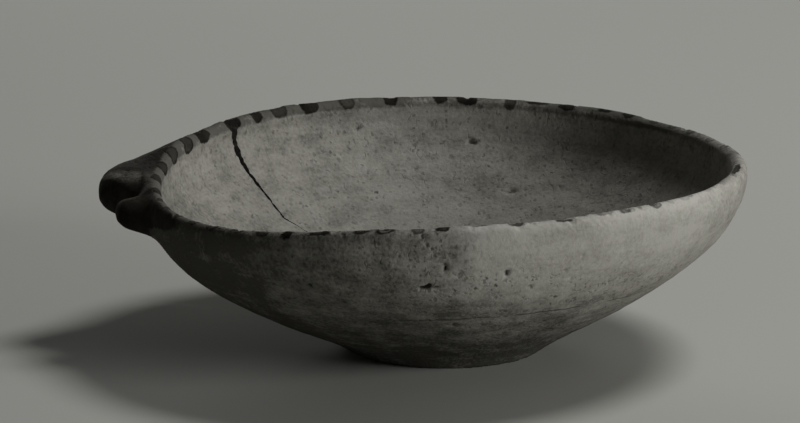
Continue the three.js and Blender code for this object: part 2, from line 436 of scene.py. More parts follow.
def make_horn(name, rings, crest_side, far_rounding):
    """Extrudes a square with one crisp and three rounder corners from ring to ring."""
    corners = [
        (CREST_ROUNDING, 1, crest_side), (far_rounding, 1, -crest_side),
        (LOW_NEAR_ROUNDING, -1, crest_side), (LOW_FAR_ROUNDING, -1, -crest_side),
    ]
    bpy.ops.object.select_all(action="DESELECT")
    bpy.ops.mesh.primitive_plane_add(size=2, location=(0, 0, 0))
    horn = bpy.context.object
    horn.name = name
    bpy.ops.object.mode_set(mode="EDIT")
    bpy.ops.transform.rotate(value=math.pi / 2, orient_axis="Y", center_override=(0, 0, 0))
    for rounding, top, side in corners:
        bpy.ops.mesh.select_all(action="DESELECT")
        outline = bmesh.from_edit_mesh(horn.data)
        for vert in outline.verts:
            vert.select_set(vert.co.z * top > AT_CORNER and vert.co.y * side > AT_CORNER)
        bpy.ops.mesh.bevel(affect="VERTICES", offset=rounding, segments=CORNER_SEGMENTS)
    bpy.ops.mesh.select_all(action="SELECT")
    place, wide, high = rings[0]
    bpy.ops.transform.resize(value=(1, wide, high), center_override=(0, 0, 0))
    bpy.ops.transform.translate(value=place)
    for (last, last_wide, last_high), (place, wide, high) in zip(rings, rings[1:]):
        bpy.ops.mesh.extrude_region_move(TRANSFORM_OT_translate={"value": place - last})
        size = (1, wide / last_wide, high / last_high)
        bpy.ops.transform.resize(value=size, center_override=place)
    bpy.ops.mesh.select_all(action="SELECT")
    bpy.ops.mesh.normals_make_consistent(inside=False)
    bpy.ops.object.mode_set(mode="OBJECT")
    set_points(horn, wrap(get_points(horn)))
    print(name, "faces:", len(horn.data.polygons))
    beside_notch = CREST_SHARE * crest_side
    crest = np.array([place + Vector((0, beside_notch * wide, high)) for place, wide, high in rings])
    return horn, wrap(crest)


back_rings = horn_rings(
    reach=17.1 * MM, drop=1.0 * MM, root_y=23 * MM, tip_y=13 * MM,
    root_half_width=46 * MM, half_width=7.2 * MM, half_height=7.8 * MM,
)
front_rings = horn_rings(
    reach=9.6 * MM, drop=0, root_y=-17 * MM, tip_y=-10.6 * MM,
    root_half_width=22 * MM, half_width=6.6 * MM, half_height=5.7 * MM,
)
back_horn, back_crest = make_horn("back_horn", back_rings, crest_side=-1, far_rounding=0.75)
front_horn, front_crest = make_horn("front_horn", front_rings, crest_side=1, far_rounding=1.2)

# %% [markdown]
# The roots of the horns end inside the wall
#
# The rings start well inside the bowl so that they can flare. What lies further in than the middle of the
# wall is cut away with a solid core, spun from the middle line of the wall, or the roots would show inside
# the bowl.

# %% Trim the roots
CORE_TOP = 2 * RIM_HEIGHT


def apply_modifier(piece, kind, **settings):
    """Adds a modifier with its settings and applies it."""
    modifier = piece.modifiers.new(kind.lower(), kind)
    for name, value in settings.items():
        setattr(modifier, name, value)
    bpy.context.view_layer.objects.active = piece
    bpy.ops.object.modifier_apply(modifier=modifier.name)


middle_line = beside(np.linspace(0, WALL_LENGTH, WALL_POINTS), WALL_THICK / 2)
core_top = [[middle_line[-1][0], CORE_TOP], [0, CORE_TOP]]
core = spin_section("core", np.concatenate([[[0, 0]], middle_line, core_top]))
set_points(core, lift(get_points(core)))
for horn in (back_horn, front_horn):
    apply_modifier(horn, "BOOLEAN", operation="DIFFERENCE", solver="EXACT", object=core)
    print(horn.name, "starts at x, mm:", round(get_points(horn)[:, 0].max() / MM, 1))
bpy.data.objects.remove(core)

# %% [markdown]
# One skin of clay
#
# On the real bowl wet hands smeared the joints away, so the outside is one skin. The pieces are joined and
# remeshed in small cubes, which fuses what overlaps into one closed surface. Smoothing where the horns meet
# the wall then leaves the soft hollow that a finger leaves there.

# %% Join and remesh
VOXEL = 1.5 * MM
SMOOTH_FACTOR = 0.5
SKIN_SMOOTHING = 3

bpy.ops.object.select_all(action="DESELECT")
for piece in (back_horn, front_horn, bowl):
    piece.select_set(True)
bpy.context.view_layer.objects.active = bowl
bpy.ops.object.join()
apply_modifier(bowl, "REMESH", mode="VOXEL", voxel_size=VOXEL)
apply_modifier(bowl, "SMOOTH", factor=SMOOTH_FACTOR, iterations=SKIN_SMOOTHING)
print("skin:", len(bowl.data.polygons), "faces")

# %% Smooth the joints of the lug
LUG_RIGHT = -70 * MM
LUG_BOTTOM = 36 * MM
JOINT_INNER = -1.5 * MM
JOINT_WIDTH = 5 * MM
JOINT_SMOOTHING = 20
LIP_KEPT = 7 * MM
LIP_KEPT_FADE = 3 * MM
LIP_SMOOTHED = 0.1
UNLIFT_ROUNDS = 4
LEAST_WEIGHT = 0.01


def unlift(points):
    """Radius, height on the turned bowl, and angle round it, of points on the uneven one."""
    radius = np.hypot(points[:, 0], points[:, 1])
    angle = np.arctan2(points[:, 1], points[:, 0])
    level = points[:, 2]
    for _ in range(UNLIFT_ROUNDS):
        level = points[:, 2] - rise(radius, level, angle)
    return radius, level, angle


def wall_clearance(points):
    """How far points stand outside the plain turned wall, at their own height."""
    radius, level, _ = unlift(points)
    return radius - np.interp(level, fine_wall[:, 1], fine_wall[:, 0])


def weigh(piece, name, weights):
    """Stores a weight for every vertex in a vertex group."""
    group = piece.vertex_groups.new(name=name)
    for index in np.nonzero(weights > LEAST_WEIGHT)[0]:
        group.add([int(index)], float(weights[index]), "REPLACE")
    return name


points = get_points(bowl)
out = wall_clearance(points)
near_lug = (points[:, 0] < LUG_RIGHT) & (points[:, 2] > LUG_BOTTOM) & (out > JOINT_INNER)
below_lip = np.clip((RIM_HEIGHT - LIP_KEPT - points[:, 2]) / LIP_KEPT_FADE, LIP_SMOOTHED, 1)
joint = near_lug * np.exp(-((np.maximum(out, 0) / JOINT_WIDTH) ** 2)) * below_lip
apply_modifier(
    bowl, "SMOOTH", factor=SMOOTH_FACTOR, iterations=JOINT_SMOOTHING,
    vertex_group=weigh(bowl, "joint", joint),
)
print("points smoothed at the joints:", int((joint > LEAST_WEIGHT).sum()))

# %% [markdown]
# The thumb's place between the horns
#
# The clay between the two horns was pressed down with a thumb, so both crests fall toward one low saddle
# beside the lip. The points of the lug's top are lowered in a soft round hollow there. The lip itself keeps
# its height, and even rises a little behind the long horn, where the lug's clay was drawn up over it.

# %% Press the saddle down
SADDLE_PLACE = (-103.5 * MM, -2 * MM)
SADDLE_WIDTH = 7.5 * MM
SADDLE_DEPTH = 2.8 * MM
SADDLE_BOTTOM = 47 * MM
SADDLE_FADE = 5 * MM
OFF_LIP_FADE = 2 * MM
OFF_LIP_START = 0.3
LIP_SWELL_AT = math.radians(160)
LIP_SWELL_WIDTH = math.radians(6.5)
LIP_SWELL = 1.6 * MM
LIP_SWELL_REACH = 7 * MM

points = get_points(bowl)
out = wall_clearance(points)
off_lip = np.clip(out / OFF_LIP_FADE + OFF_LIP_START, 0, 1)
from_thumb = np.hypot(points[:, 0] - SADDLE_PLACE[0], points[:, 1] - SADDLE_PLACE[1])
on_top = np.clip((points[:, 2] - SADDLE_BOTTOM) / SADDLE_FADE, 0, 1)
points[:, 2] -= SADDLE_DEPTH * np.exp(-((from_thumb / SADDLE_WIDTH) ** 2)) * off_lip * on_top
past_swell = np.arctan2(points[:, 1], points[:, 0]) - LIP_SWELL_AT
by_lip = np.clip(1 - out / LIP_SWELL_REACH, 0, 1)
points[:, 2] += LIP_SWELL * np.exp(-((past_swell / LIP_SWELL_WIDTH) ** 2)) * on_top * by_lip
set_points(bowl, points)
print("saddle pressed, mm:", SADDLE_DEPTH / MM)

# %% [markdown]
# The marks of hands
#
# No hand-built wall is smooth. Fingers leave slow swellings some thumb-widths across, and wiping leaves finer
# ones. Two Displace modifiers driven by cloud textures push the skin in and out by fractions of a millimetre.
# A vertex group keeps them off the face that the bowl stands on, which is then pressed flat.

# %% Swellings and wipe marks
HAND_MARKS = [("finger_swellings", 26 * MM, 0.9 * MM), ("wiped_ripples", 7 * MM, 0.35 * MM)]
HAND_MARK_LEVEL = 0.7
FLAT_BASE = 1.2 * MM
BASE_FADE = 5 * MM

points = get_points(bowl)
off_base = weigh(bowl, "off_base", np.clip((points[:, 2] - FLAT_BASE) / BASE_FADE, 0, 1))
for name, size, strength in HAND_MARKS:
    clouds = bpy.data.textures.new(name, "CLOUDS")
    clouds.noise_scale = size
    clouds.noise_depth = 1
    apply_modifier(
        bowl, "DISPLACE", texture=clouds, texture_coords="LOCAL", strength=strength,
        mid_level=HAND_MARK_LEVEL, vertex_group=off_base,
    )
points = get_points(bowl)
radius = np.hypot(points[:, 0], points[:, 1])
standing = (points[:, 2] < FLAT_BASE) & (radius < BASE_RADIUS)
points[standing, 2] = 0
set_points(bowl, points)
print("vertices pressed flat:", int(standing.sum()))

# %% [markdown]
# More faces where the detail is
#
# The dabs of paint on the lip and the pits in the wall are only a few millimetres across, a handful of the
# skin's faces. Subdividing just the faces there gives them enough to be drawn with, and keeps the rest light.
# The pits that show in the picture are listed. Smaller ones are strewn over the skin by a seeded dice.

# %% Where the pits and chips are
PITS = [  # degrees round the bowl, radius and height in mm, half width and depth in mm
    (266.3, 94.6, 42.7, 1.9, 1.5), (267.4, 94.0, 41.9, 1.1, 0.8), (242.6, 93.0, 41.0, 1.2, 0.9),
    (281.5, 97.0, 47.0, 1.3, 0.9), (269.5, 98.4, 50.4, 1.4, 0.7), (269.8, 98.2, 49.2, 1.0, 0.6),
    (271.8, 97.0, 46.7, 1.1, 0.6), (271.7, 74.0, 27.6, 1.5, 0.7), (286.0, 93.0, 41.5, 1.0, 0.6),
    (293.0, 97.0, 46.5, 0.9, 0.6), (322.3, 87.0, 35.6, 1.1, 0.6), (305.5, 90.0, 38.5, 1.1, 0.6),
    (211.1, 61.0, 18.8, 1.2, 0.7), (83.9, 90.4, 49.6, 1.6, 0.9), (72.7, 76.8, 35.7, 1.5, 0.7),
    (108.5, 92.7, 54.3, 1.1, 0.8), (97.0, 84.0, 41.0, 1.0, 0.6), (60.0, 80.0, 39.0, 1.0, 0.35),
]
CHIPS = [  # degrees round the lip, half width and depth in mm
    (283, 2.2, 0.4), (286, 1.3, 0.3), (293.5, 2.4, 0.5), (296.5, 1.2, 0.4), (299, 1.6, 0.4), (302, 1.3, 0.4),
    (306, 1.8, 0.5), (309, 1.2, 0.4), (312.5, 2.0, 0.5), (317, 1.3, 0.4), (323, 1.6, 0.4), (275, 1.6, 0.25),
    (258, 1.5, 0.4), (249, 1.3, 0.4), (226, 1.8, 0.6), (219, 1.4, 0.5), (205, 1.5, 0.5), (149, 1.4, 0.4),
    (121, 1.5, 0.4), (85, 1.6, 0.4), (62, 1.4, 0.4), (33, 1.6, 0.5), (15, 1.4, 0.4), (345, 1.3, 0.4),
]
STREWN_PITS = 90
STREWN_HALF = (0.5, 0.9)
STREWN_DEPTH = 0.4
STREWN_SEED = 11
SCRATCH = [  # degrees round the bowl, and height in mm
    (265.6, 60.0), (266.4, 58.5), (267.2, 56.5), (268.0, 55.0), (268.7, 53.2),
]
SCRATCH_HALF = 0.75
SCRATCH_DEPTH = 0.45
LIP_BAND = RIM_HEIGHT - 6 * MM

dice = np.random.default_rng(STREWN_SEED)
points = get_points(bowl)


def nearest(target):
    """The skin's vertex nearest to a place."""
    return points[np.argmin(np.linalg.norm(points - target, axis=1))]


def around(degrees, radius, height):
    """The place at an angle round the bowl, a radius and a height, both in millimetres."""
    turn = math.radians(degrees)
    return MM * np.array([radius * math.cos(turn), radius * math.sin(turn), height])


def on_lip(degrees):
    """The place on the crown of the lip at an angle round the bowl."""
    crown = around(degrees, LIP_RADIUS / MM, RIM_HEIGHT / MM)
    return lift(crown[None])[0]


dents = [(nearest(around(d, r, z)), MM * half, MM * depth) for d, r, z, half, depth in PITS]
dents += [(nearest(on_lip(d)), MM * half, MM * depth) for d, half, depth in CHIPS]
dents += [(nearest(around(d, MAX_RADIUS / MM, z)), MM * SCRATCH_HALF, MM * SCRATCH_DEPTH) for d, z in SCRATCH]
above_base = np.nonzero(points[:, 2] > BASE_FADE)[0]
for index in dice.choice(above_base, STREWN_PITS, replace=False):
    half = MM * dice.uniform(*STREWN_HALF)
    dents.append((points[index], half, STREWN_DEPTH * half))
print("pits, chips and scratches:", len(dents))


# %% Subdivide there
def refine(piece, chosen, cuts):
    """Subdivides the faces whose middles a test picks out."""
    bpy.ops.object.mode_set(mode="EDIT")
    bpy.ops.mesh.select_mode(type="FACE")
    bpy.ops.mesh.select_all(action="DESELECT")
    skin = bmesh.from_edit_mesh(piece.data)
    picked = chosen(np.array([face.calc_center_median() for face in skin.faces]))
    for face, pick in zip(skin.faces, picked):
        face.select_set(bool(pick))
    bpy.ops.mesh.subdivide(number_cuts=cuts)
    bpy.ops.mesh.select_mode(type="VERT")
    bpy.ops.object.mode_set(mode="OBJECT")
    print("subdivided", int(picked.sum()), "faces; now", len(piece.data.polygons))


def near_dents(middles):
    """Whether places lie in a dent or just beside it."""
    near = np.zeros(len(middles), bool)
    for centre, half, _ in dents:
        near |= np.linalg.norm(middles - centre, axis=1) < half + VOXEL / 2
    return near


refine(bowl, lambda middles: unlift(middles)[1] > LIP_BAND, 1)
refine(bowl, near_dents, 1)

# %% [markdown]
# Pressing the pits in
#
# A pit is where a bit of grit or straw came out of the clay: steep at its edge, flat at the bottom, and never
# quite round. The points near its middle are pushed straight in, by less the nearer they are to its edge. How
# far each point went is kept as a value of its own, so that the material can paint the deep ones dark, as the
# shade inside them.

# %% Push the points in
OUTLINE_WAVER = (0.28, 0.16)
PIT_STEEPNESS = 3


def press(points, normals, centre, half, depth):
    """Pushes the points of one dent in, within an outline that wavers."""
    here = np.argmin(np.linalg.norm(points - centre, axis=1))
    inward = -normals[here]
    level = np.array([-centre[1], centre[0], 0]) / np.hypot(*centre[:2])
    away = points - centre
    side, up = away @ level, away @ np.cross(inward, level)
    bearing = np.arctan2(up, side)
    wave, wave_more = dice.uniform(0, 2 * math.pi, 2)
    two, three = OUTLINE_WAVER
    edge = half * (1 + two * np.sin(2 * bearing + wave) + three * np.sin(3 * bearing + wave_more))
    share = np.hypot(side, up) / edge
    beside_it = np.abs(away @ inward) < WALL_THICK / 2
    pressed = beside_it * depth * np.clip(1 - share ** PIT_STEEPNESS, 0, 1)
    points += np.outer(pressed, inward)
    return pressed


def store(name, values):
    """Gives every point of the skin a value that the materials can read."""
    layer = bowl.data.attributes.new(name, "FLOAT", "POINT")
    layer.data.foreach_set("value", np.asarray(values, np.float32))
    print(name, "from", round(float(np.min(values)), 2), "to", round(float(np.max(values)), 2))


points = get_points(bowl)
normals = np.empty(points.size)
bowl.data.vertex_normals.foreach_get("vector", normals)
normals = normals.reshape(-1, 3)
sunk = sum(press(points, normals, centre, half, depth) for centre, half, depth in dents)
set_points(bowl, points)
store("sunk", sunk / MM)

# %% [markdown]
# The crack
#
# The wall has split from the lip down. A narrow ribbon is to be cut out of it, so its two ragged sides are
# worked out first, along the middle of the wall. The ribbon is tilted, because a crack runs aslant through a
# wall and stays dark from both sides.

# %% Sides of the crack
CRACK = [  # degrees round the bowl, millimetres down the wall from the widest circle, width in millimetres
    (140.0, -12, 2.7), (140.2, -4, 2.6), (140.4, -1, 2.5), (140.4, 2, 2.3), (140.4, 7, 2.0), (140.3, 10, 1.9),
    (140.1, 13, 1.7), (139.8, 17, 1.45), (139.3, 21, 1.2), (139.0, 26, 0.95), (138.9, 31, 0.8),
    (139.1, 36, 0.65), (139.3, 40.5, 0.52), (138.6, 43.5, 0.42), (137.4, 46.5, 0.34), (136.5, 49, 0.26),
    (135.2, 52, 0.2),
]
CRACK_TILT = math.radians(30)
CRACK_STEP = 1.3
CRACK_RAGGED = 0.26
CRACK_SEED = 4

dice = np.random.default_rng(CRACK_SEED)
degrees, down, width = np.array(CRACK).T
stations = np.arange(down[0], down[-1], CRACK_STEP)
turn_at = np.radians(np.interp(stations, down, degrees))
width_at = MM * np.interp(stations, down, width)
along_at = WALL_LENGTH - MM * np.maximum(stations, 0)
middle_at = beside(along_at, WALL_THICK / 2)
middle_at[:, 1] += MM * np.maximum(-stations, 0)
narrowing = (width_at / width_at.max())[:, None] ** 0.5
ragged = MM * CRACK_RAGGED * dice.standard_normal((len(stations), 2)) * narrowing
ribbon_corners = []
for side in (-1, 1):
    apart = side * width_at / 2 + ragged[:, (side + 1) // 2]
    turn = turn_at + math.cos(CRACK_TILT) * apart / middle_at[:, 0]
    radius = middle_at[:, 0] - math.sin(CRACK_TILT) * apart
    corner = np.stack([radius * np.cos(turn), radius * np.sin(turn), middle_at[:, 1]], axis=-1)
    ribbon_corners.append(lift(corner))
print("steps along the crack:", len(stations))

# %% [markdown]
# The ribbon, cut out
#
# One edge is extruded step by step, and its two corners are placed on the two sides. Solidify thickens the
# ribbon until it passes through the wall, and a Boolean cuts it out. A crack could be painted on as a dark
# line, but a cut has edges that catch the light. The cut faces take the ribbon's material.

# %% Draw the ribbon and cut it out
CRACK_DEPTH = 20 * MM
CORE_CLAY_SLOT = 1

bpy.ops.object.select_all(action="DESELECT")
bpy.ops.mesh.primitive_plane_add(size=MM)
ribbon = bpy.context.object
ribbon.name = "crack_ribbon"
bpy.ops.object.mode_set(mode="EDIT")
strip = bmesh.from_edit_mesh(ribbon.data)
bmesh.ops.delete(strip, geom=[vert for vert in strip.verts if vert.co.y > 0], context="VERTS")
last_left = Vector((-MM, 0, 0))
for step, (left, right) in enumerate(zip(*ribbon_corners)):
    if step:
        bpy.ops.mesh.extrude_region_move()
    strip = bmesh.from_edit_mesh(ribbon.data)
    pair = [vert for vert in strip.verts if vert.select]
    pair.sort(key=lambda vert: (vert.co - last_left).length)
    pair[0].co, pair[1].co = left, right
    last_left = Vector(left)
    bmesh.update_edit_mesh(ribbon.data)
bpy.ops.mesh.select_all(action="SELECT")
bpy.ops.mesh.normals_make_consistent(inside=False)
bpy.ops.object.mode_set(mode="OBJECT")
apply_modifier(ribbon, "SOLIDIFY", thickness=CRACK_DEPTH, offset=0)
slip = bpy.data.materials.new("wiped_slip_on_low_fired_clay")
core_clay = bpy.data.materials.new("broken_low_fired_clay")
for piece in (ribbon, bowl):
    piece.data.materials.append(slip)
    piece.data.materials.append(core_clay)
ribbon.data.polygons.foreach_set("material_index", [CORE_CLAY_SLOT] * len(ribbon.data.polygons))
apply_modifier(bowl, "BOOLEAN", operation="DIFFERENCE", solver="EXACT", object=ribbon)
bpy.data.objects.remove(ribbon)
print("skin with the crack:", len(bowl.data.polygons), "faces")

# %% [markdown]
# Clean edges of the cut
#
# A cut leaves slivers, faces with hardly any area. Points that lie on top of each other are merged, faces
# without area are dissolved, and faces with more than four sides are split into triangles.

# %% Merge the slivers
MOST_SIDES = 4

bpy.ops.object.mode_set(mode="EDIT")
bpy.ops.mesh.select_all(action="SELECT")
bpy.ops.mesh.remove_doubles(threshold=MERGE_DISTANCE)
bpy.ops.mesh.select_all(action="SELECT")
bpy.ops.mesh.dissolve_degenerate(threshold=MERGE_DISTANCE)
bpy.ops.mesh.select_all(action="DESELECT")
bpy.ops.mesh.select_face_by_sides(number=MOST_SIDES, type="GREATER")
bpy.ops.mesh.quads_convert_to_tris(quad_method="BEAUTY", ngon_method="BEAUTY")
bpy.ops.object.mode_set(mode="OBJECT")
inner_faces = sum(face.material_index == CORE_CLAY_SLOT for face in bowl.data.polygons)
print("faces inside the crack:", inner_faces, "of", len(bowl.data.polygons))

# %% [markdown]
# Where the paint is
#
# Paint has no thickness to speak of, so it isn't modelled but mapped: every point of the skin is told how
# far, in millimetres, it lies from the nearest dab. The material can then draw crisp, wavering edges of its
# own. The dabs on the lip are listed one by one, as they show in the picture. Where they don't show, they
# carry on at the same spacing, more rubbed.

# %% Dabs along the lip
DABS = [  # degrees, width and middle and length across the lip in mm, strength, worn middle
    (149.4, 7.2, -2.0, 7.6, 1.0, 0.0), (139.2, 7.4, -1.8, 7.4, 1.0, 0.0), (132.4, 4.6, -2.0, 7.0, 1.0, 0.0),
    (126.4, 6.6, -1.8, 7.0, 0.9, 0.15), (119, 7.2, -1.8, 7.2, 1.0, 0.0), (110.5, 5.6, -1.8, 6.8, 0.8, 0.4),
    (101, 5.2, -1.4, 6.2, 1.0, 0.0), (90.6, 5.2, -1.2, 5.8, 1.0, 0.0), (85, 7.4, -1.2, 6.4, 1.0, 0.0),
    (76, 4.4, -1.8, 6.6, 0.85, 0.0), (70.4, 7.2, -0.7, 3.2, 0.95, 0.0), (63.6, 6.6, -1.0, 5.0, 0.95, 0.0),
    (55, 6.2, -0.4, 3.6, 0.95, 0.0), (49, 5.8, -0.6, 3.8, 0.9, 0.1), (42, 4.4, -0.4, 4.2, 0.6, 0.3),
    (36.5, 4.0, -0.4, 4.4, 0.6, 0.6), (30, 4.4, -0.6, 4.4, 0.5, 0.3), (22, 4.4, -0.6, 4.6, 0.6, 0.6),
    (14, 4.4, -0.6, 4.6, 0.65, 0.6), (6.5, 4.0, -0.6, 4.6, 0.4, 0.5), (350.5, 16.0, -0.6, 3.0, 1.0, 0.1),
    (337, 4.6, -0.6, 4.2, 0.25, 0.4), (330, 4.6, -0.4, 3.8, 0.2, 0.5), (321.5, 4.4, 0.4, 3.2, 0.25, 0.4),
    (313, 4.4, 0.8, 3.2, 0.7, 0.3), (305.5, 4.4, 0.6, 3.0, 0.75, 0.2), (300.3, 4.0, 0.3, 2.4, 0.5, 0.2),
    (292.1, 5.6, 0.3, 2.9, 0.85, 0.1), (282.9, 5.4, 0.2, 2.8, 0.9, 0.1), (276, 5.6, -0.4, 2.0, 0.9, 0.0),
    (269.0, 4.0, 0.9, 3.0, 1.0, 0.2), (264.4, 4.0, 1.2, 3.2, 0.75, 0.4), (258.3, 5.8, 1.0, 3.3, 0.95, 0.7),
    (253.7, 5.6, 0.9, 3.2, 0.95, 0.2), (245.5, 7.0, 0.9, 3.2, 0.95, 0.1), (238.7, 3.8, 1.7, 5.0, 1.0, 0.0),
    (233, 5.2, 1.2, 4.4, 0.85, 0.0), (226.6, 5.4, 0.6, 4.0, 0.8, 0.5),
    (219.5, 5.6, 0.2, 4.8, 0.9, 0.2), (212.8, 5.4, -0.6, 5.2, 0.9, 0.1), (206, 5.0, -1.2, 5.4, 0.9, 0.1),
    (199.5, 5.0, -1.8, 5.6, 0.9, 0.0), (193, 5.0, -2.2, 5.8, 0.95, 0.1), (186.5, 5.4, -2.4, 6.0, 0.95, 0.1),
    (178.5, 5.8, -2.4, 6.2, 1.0, 0.1), (171, 6.2, -2.6, 6.4, 1.0, 0.2), (163.6, 6.8, -2.6, 6.8, 1.0, 0.3),
    (156.2, 7.0, -2.6, 7.0, 1.0, 0.25),
]
DAB_SQUARENESS = 2.5
LIP_ZONE = 3 * LIP_THICK
FAR = 20.0

points = get_points(bowl)
radius, level, angle = unlift(points)
lip_half = LIP_THICK / 2
lip_centre = RIM_HEIGHT - lip_half
turned_over = np.arctan2(np.maximum(level - lip_centre, 0), radius - LIP_RADIUS)
outer_side = np.sign(radius - LIP_RADIUS)
across_lip = (lip_half * (math.pi / 2 - turned_over) + outer_side * np.maximum(lip_centre - level, 0)) / MM
across_lip = np.where(radius > MAX_RADIUS - LIP_ZONE, across_lip, -FAR)

dab = np.full(len(points), FAR)
strength = np.zeros(len(points))
worn_middle = np.zeros(len(points))
for degrees, width, middle, length, force, worn in DABS:
    turn = np.angle(np.exp(1j * (angle - math.radians(degrees))))
    sideways = np.abs(turn * LIP_RADIUS / MM / (width / 2))
    lengthways = np.abs((across_lip - middle) / (length / 2))
    share = (sideways ** DAB_SQUARENESS + lengthways ** DAB_SQUARENESS) ** (1 / DAB_SQUARENESS)
    distance = (share - 1) * min(width, length) / 2
    closer = distance < dab
    dab = np.where(closer, distance, dab)
    strength = np.where(closer, force, strength)
    worn_middle = np.where(closer, worn, worn_middle)
print("dabs:", len(DABS), "points on them:", int((dab < 0).sum()))
store("dab", dab)
store("dab_strength", strength)
store("dab_worn", worn_middle)

# %% [markdown]
# The painted horns
#
# The horns are painted all over, and beside the lug the paint laps over the lip, less the further it is from
# the lug. Points are told how far they stand out of the plain wall, and how far they lie from a horn's crest.

# %% Horns and their crests
LUG_MIDDLE = 178
LUG_PAINT_RIGHT = -60 * MM
LAP = 4.0  # how far the paint laps over, in mm
LAP_END = 38  # degrees from the lug's middle
LAP_WHOLE = 24
LAP_LOW = 50  # height of its lower edge in mm
LAP_CLIMB = 9
LAP_FADE = 4
CREST_POINTS = 80


def ramp_up(values, start, end):
    """Rises evenly from 0 at the start to 1 at the end."""
    return np.clip((values - start) / (end - start), 0, 1)


def turned_from(degrees):
    """How many degrees round the bowl each point lies past a direction, from -180 to 180."""
    return np.degrees(np.angle(np.exp(1j * (angle - math.radians(degrees)))))


def spread(path, count):
    """A number of points spread evenly along a path."""
    at = np.linspace(0, len(path) - 1, count)
    return np.stack([np.interp(at, range(len(path)), path[:, i]) for i in range(3)], axis=-1)


clearance = wall_clearance(points) / MM
level_mm = level / MM
from_lug = np.abs(turned_from(LUG_MIDDLE))
lap_edge = LAP_LOW + LAP_CLIMB * (from_lug / LAP_END) ** 2
over_lip = LAP * ramp_up(from_lug, LAP_END, LAP_WHOLE) * ramp_up(level_mm - lap_edge, 0, LAP_FADE)
horn_out = np.where(points[:, 0] < LUG_PAINT_RIGHT, clearance + over_lip, -FAR)
crest_line = np.concatenate([spread(path, CREST_POINTS) for path in (back_crest, front_crest)])
crest = np.full(len(points), FAR)
by_horns = np.nonzero(horn_out > 0)[0]
crest[by_horns] = [np.linalg.norm(crest_line - points[i], axis=1).min() / MM for i in by_horns]
store("horn_out", horn_out)
store("crest", crest)

# %% [markdown]
# Inside and outside
#
# The two sides of the wall wear differently. Below the lip a point is inside when it lies well in from the
# outer wall and above the floor's underside. Over the lip the one side fades into the other.

# %% Tell the inside from the outside
INSIDE_DEPTH = 2.8 * MM
LIP_INSIDE_START = 1
LIP_INSIDE_FADE = 5

over_the_lip = np.clip((LIP_INSIDE_START - across_lip) / LIP_INSIDE_FADE, 0, 1)
below_the_lip = (clearance < -INSIDE_DEPTH / MM) & (level > INSIDE_DEPTH)
inside = np.where(level > LIP_BAND, over_the_lip, below_the_lip)
outside = 1 - inside
store("inside", inside)

# %% [markdown]
# Where the slip is kept, where it is worn, and where shade is painted
#
# On the right of the outside the slip is whole: pale and smooth, up to a clear edge near the front. Left of
# that edge it is scuffed thin and speckled, and it is painted darker toward the left, as the shade of the
# side away from the lamps. Toward the foot it is painted darker, as the shade under the wall. Along the far
# lip it is darker, and inside by the lug it is rubbed darker. Soft ramps round the bowl, in degrees, and up
# the wall, in millimetres, give each zone its weight, and the weights add up to one value: slip kept, with
# the painted shade. A ramp's pair is where it is 0 and where it is 1.

# %% Slip kept
PALE_MIDDLE = 322
PALE_EDGE = (-51, -46)
PALE_FADE = (45, 0)
PALE_CLIMB = (30, 48)
WORN_AND_SHADED_MIDDLE = 235
WORN_AND_SHADED_REACH = (80, 50)
WORN_AND_SHADED_CLIMB = (14, 40)
WORN_AND_SHADED_LOW = 0.5
WORN_AND_SHADED_BY_TURN = [  # degrees past the pale middle, and how worn and shaded
    (-107, 1.7), (-95, 1.7), (-82, 0.75), (-71, 0.35), (-51, 0.4),
]
WORN_AND_SHADED_LOSS = 1.1
FOOT_SHADE_CLIMB = (34, 4)
FOOT_SHADE_BY_TURN = [(-85, 0.7), (-60, 1.0), (-40, 1.3)]
FOOT_SHADE_LOSS = 1.3
FAR_LIP_ACROSS = -1.2
FAR_LIP_HALF = 4.1
FAR_LIP_SQUARENESS = 10
FAR_LIP_MIDDLE = 114
FAR_LIP_TURN = 92
FAR_LIP_TURN_SQUARENESS = 6
FAR_LIP_DARKENING = 1.7
INSIDE_RUB_MIDDLE = 188
INSIDE_RUB_TURN = 28
INSIDE_RUB_LOSS = 0.9

past_pale = turned_from(PALE_MIDDLE)
pale = outside * ramp_up(past_pale, *PALE_EDGE) * ramp_up(past_pale, *PALE_FADE)
pale *= ramp_up(level_mm, *PALE_CLIMB)
# Scuffed, speckled slip left of the pale edge, painted darker toward the left as the shade of the side away
# from the lamps.
worn = outside * ramp_up(past_pale, *reversed(PALE_EDGE))
worn *= ramp_up(np.abs(turned_from(WORN_AND_SHADED_MIDDLE)), *WORN_AND_SHADED_REACH)
worn_and_shaded_at_height = WORN_AND_SHADED_LOW + (1 - WORN_AND_SHADED_LOW) * ramp_up(level_mm, *WORN_AND_SHADED_CLIMB)
worn *= np.interp(past_pale, *zip(*WORN_AND_SHADED_BY_TURN)) * worn_and_shaded_at_height
# Painted shade: the outside is painted darker toward the foot, where the wall overhangs.
foot = outside * ramp_up(level_mm, *FOOT_SHADE_CLIMB) * np.interp(past_pale, *zip(*FOOT_SHADE_BY_TURN))
# A darker band along the far lip.
across_far_lip = (across_lip - FAR_LIP_ACROSS) / FAR_LIP_HALF
along_far_lip = turned_from(FAR_LIP_MIDDLE) / FAR_LIP_TURN
far_lip = np.exp(-(across_far_lip ** FAR_LIP_SQUARENESS))
far_lip *= np.exp(-(along_far_lip ** FAR_LIP_TURN_SQUARENESS))
by_lug = inside * np.exp(-((turned_from(INSIDE_RUB_MIDDLE) / INSIDE_RUB_TURN) ** 2))
lost = WORN_AND_SHADED_LOSS * worn + FOOT_SHADE_LOSS * foot + FAR_LIP_DARKENING * far_lip + INSIDE_RUB_LOSS * by_lug
store("slip_kept_and_shade", pale - lost)

